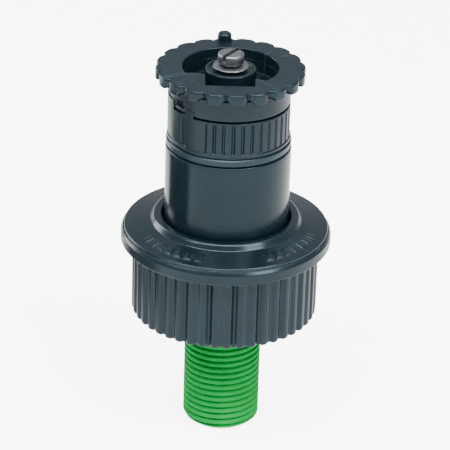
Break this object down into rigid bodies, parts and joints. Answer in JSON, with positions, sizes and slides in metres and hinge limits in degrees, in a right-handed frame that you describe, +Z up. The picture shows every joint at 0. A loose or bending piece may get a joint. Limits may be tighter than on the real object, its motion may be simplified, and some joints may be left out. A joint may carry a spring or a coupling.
{
  "type": "pop up sprinkler",
  "caption": "Pop-up sprinkler: threaded inlet nipple, ribbed cap over a short case, spring-returned riser, knurled arc collar, lobed rotary stream deflector and slotted radius screw.",
  "frame": {"origin": "centre of the inlet nipple's lower end face, which the free part stands on", "axes": "+Z up along the common axis of nipple, case, riser and deflector; -Y is the front, with the collar's pointer tab at front left"},
  "size_m": [0.0568, 0.0568, 0.1089],
  "materials": {
    "black_plastic": "semi-gloss moulded black plastic",
    "green_plastic": "glossy green moulded plastic",
    "pale_acetal": "natural acetal",
    "black_rubber": "matt rubber",
    "stainless_steel": "turned stainless steel"
  },
  "bodies": {
    "base": {"inlet_nipple": "green_plastic", "inlet_gasket": "black_rubber", "inlet_lock_nut": "green_plastic", "body_case": "black_plastic", "cap": "black_plastic", "cap_gasket": "black_rubber", "wiper_seal": "black_rubber", "spring_seat": "pale_acetal", "retraction_spring": "stainless_steel"},
    "ratchet": {"ratchet_ring": "pale_acetal"},
    "riser": {"riser_tube": "black_plastic", "foot_seal": "black_rubber", "filter_basket": "black_plastic", "filter_mesh": "stainless_steel", "nozzle_base": "black_plastic", "nozzle_o_ring": "black_rubber", "nozzle_head": "black_plastic", "centre_shaft": "stainless_steel", "brake_rotor": "pale_acetal"},
    "collar": {"arc_collar": "black_plastic"},
    "deflector": {"deflector_disc": "black_plastic", "brake_housing": "black_plastic", "deflector_bush": "pale_acetal"},
    "screw": {"radius_screw": "stainless_steel", "screw_washer": "stainless_steel", "screw_o_ring": "black_rubber"},
    "throttle": {"throttle_plug": "black_plastic"}
  },
  "joints": [
    {"name": "pop_up", "type": "slide", "parent": "base", "child": "ratchet", "axis": [0, 0, 1], "range_m": [-0.012, 0], "deforming": ["retraction_spring"]},
    {"name": "riser_turn", "type": "hinge", "parent": "ratchet", "child": "riser", "pos_m": [0, 0, 0.049], "axis": [0, 0, 1], "continuous": true},
    {"name": "collar_turn", "type": "hinge", "parent": "riser", "child": "collar", "pos_m": [0, 0, 0.09], "axis": [0, 0, 1], "range_deg": [-90, 90]},
    {"name": "deflector_spin", "type": "hinge", "parent": "riser", "child": "deflector", "pos_m": [0, 0, 0.1], "axis": [0, 0, 1], "continuous": true},
    {"name": "screw_turn", "type": "hinge", "parent": "riser", "child": "screw", "pos_m": [0, 0, 0.107], "axis": [0, 0, -1], "range_deg": [0, 1441]},
    {"name": "throttle_travel", "type": "slide", "parent": "riser", "child": "throttle", "axis": [0, 0, 1], "range_m": [0, 0.0028]}
  ],
  "couplings": [
    {"joint": "screw_turn", "follows": "throttle_travel", "rad_per_m": 8976}
  ]
}
